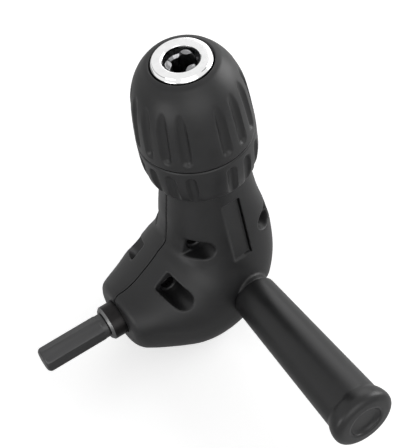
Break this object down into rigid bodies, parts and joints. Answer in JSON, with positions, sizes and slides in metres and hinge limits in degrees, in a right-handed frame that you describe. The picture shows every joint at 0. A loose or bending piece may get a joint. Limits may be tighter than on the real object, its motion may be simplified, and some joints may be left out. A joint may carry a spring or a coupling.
{
  "type": "right angle drill adapter",
  "caption": "Right angle drill adapter: black two-part gear housing, hexagonal drive shank, keyless three-jaw chuck with fluted sleeves and a bright nose ring, and a screw-in side handle.",
  "frame": {"origin": "middle of the end face of the hexagonal shank", "axes": "+X out of the shank's end along the input axis, +Y out along the side handle, +Z along the output axis out of the chuck's nose"},
  "size_m": [0.095, 0.1108, 0.1202],
  "materials": {
    "black_plastic": "fine-grained moulded plastic",
    "grip_plastic": "moulded plastic with a soft sheen",
    "dark_steel": "dark satin steel",
    "black_steel": "black oxide",
    "chrome": "polished chrome plate",
    "bright_steel": "ground steel",
    "gear_steel": "hardened steel",
    "brass": "turned brass",
    "seal_rubber": "soft black rubber"
  },
  "bodies": {
    "housing": {"housing_handle_side": "black_plastic", "housing_plain_side": "black_plastic", "neck_seal": "seal_rubber", "front_bush": "black_steel", "input_spacer": "bright_steel", "handle_insert": "brass", "input_bearing_outer_race": "bright_steel", "spindle_bearing_outer_race": "bright_steel", "neck_bearing_outer_race": "bright_steel", "case_screw_1": "black_steel", "case_screw_2": "black_steel", "case_screw_3": "black_steel", "case_screw_4": "black_steel", "case_nut_1": "dark_steel", "case_nut_2": "dark_steel", "case_nut_3": "dark_steel", "case_nut_4": "dark_steel"},
    "input": {"input_shaft": "dark_steel", "input_gear": "gear_steel", "input_clip": "black_steel", "input_bearing_inner_race": "bright_steel"},
    "output": {"spindle": "bright_steel", "output_gear": "gear_steel", "spindle_clip": "black_steel", "spindle_bearing_inner_race": "bright_steel", "neck_bearing_inner_race": "bright_steel", "chuck_body": "bright_steel", "chuck_screw": "black_steel", "nose_ring": "chrome", "rear_sleeve": "grip_plastic", "thrust_ring": "bright_steel"},
    "chuck_sleeve": {"front_sleeve": "grip_plastic", "scroll_nut": "bright_steel"},
    "jaw_body_1": {"jaw_1": "dark_steel"},
    "jaw_body_2": {"jaw_2": "dark_steel"},
    "jaw_body_3": {"jaw_3": "dark_steel"},
    "handle_slide": {"handle_washer": "bright_steel"},
    "handle": {"handle_grip": "grip_plastic", "handle_stud": "bright_steel"}
  },
  "joints": [
    {"name": "output_spin", "type": "hinge", "parent": "housing", "child": "output", "pos_m": [-0.075, 0, 0], "axis": [0, 0, 1], "continuous": true},
    {"name": "input_spin", "type": "hinge", "parent": "housing", "child": "input", "pos_m": [-0.075, 0, 0], "axis": [1, 0, 0], "continuous": true},
    {"name": "sleeve_turn", "type": "hinge", "parent": "output", "child": "chuck_sleeve", "pos_m": [-0.075, 0, 0.08], "axis": [0, 0, 1], "range_deg": [-1872, 720]},
    {"name": "jaw_slide_1", "type": "slide", "parent": "output", "child": "jaw_body_1", "axis": [0.0508, -0.2879, 0.9563], "range_m": [-0.00361, 0.00937]},
    {"name": "jaw_slide_2", "type": "slide", "parent": "output", "child": "jaw_body_2", "axis": [0.224, 0.1879, 0.9563], "range_m": [-0.00361, 0.00937]},
    {"name": "jaw_slide_3", "type": "slide", "parent": "output", "child": "jaw_body_3", "axis": [-0.2747, 0.1, 0.9563], "range_m": [-0.00361, 0.00937]},
    {"name": "handle_travel", "type": "slide", "parent": "housing", "child": "handle_slide", "axis": [0, 1, 0], "range_m": [0, 0.0075]},
    {"name": "handle_turn", "type": "hinge", "parent": "handle_slide", "child": "handle", "pos_m": [-0.0745, 0.0223, 0], "axis": [0, 1, 0], "range_deg": [0, 2160]}
  ],
  "couplings": [
    {"joint": "input_spin", "follows": "output_spin", "ratio": -1},
    {"joint": "jaw_slide_1", "follows": "sleeve_turn", "m_per_rad": -0.00028648},
    {"joint": "jaw_slide_2", "follows": "sleeve_turn", "m_per_rad": -0.00028648},
    {"joint": "jaw_slide_3", "follows": "sleeve_turn", "m_per_rad": -0.00028648},
    {"joint": "handle_travel", "follows": "handle_turn", "m_per_rad": 0.00019894}
  ]
}
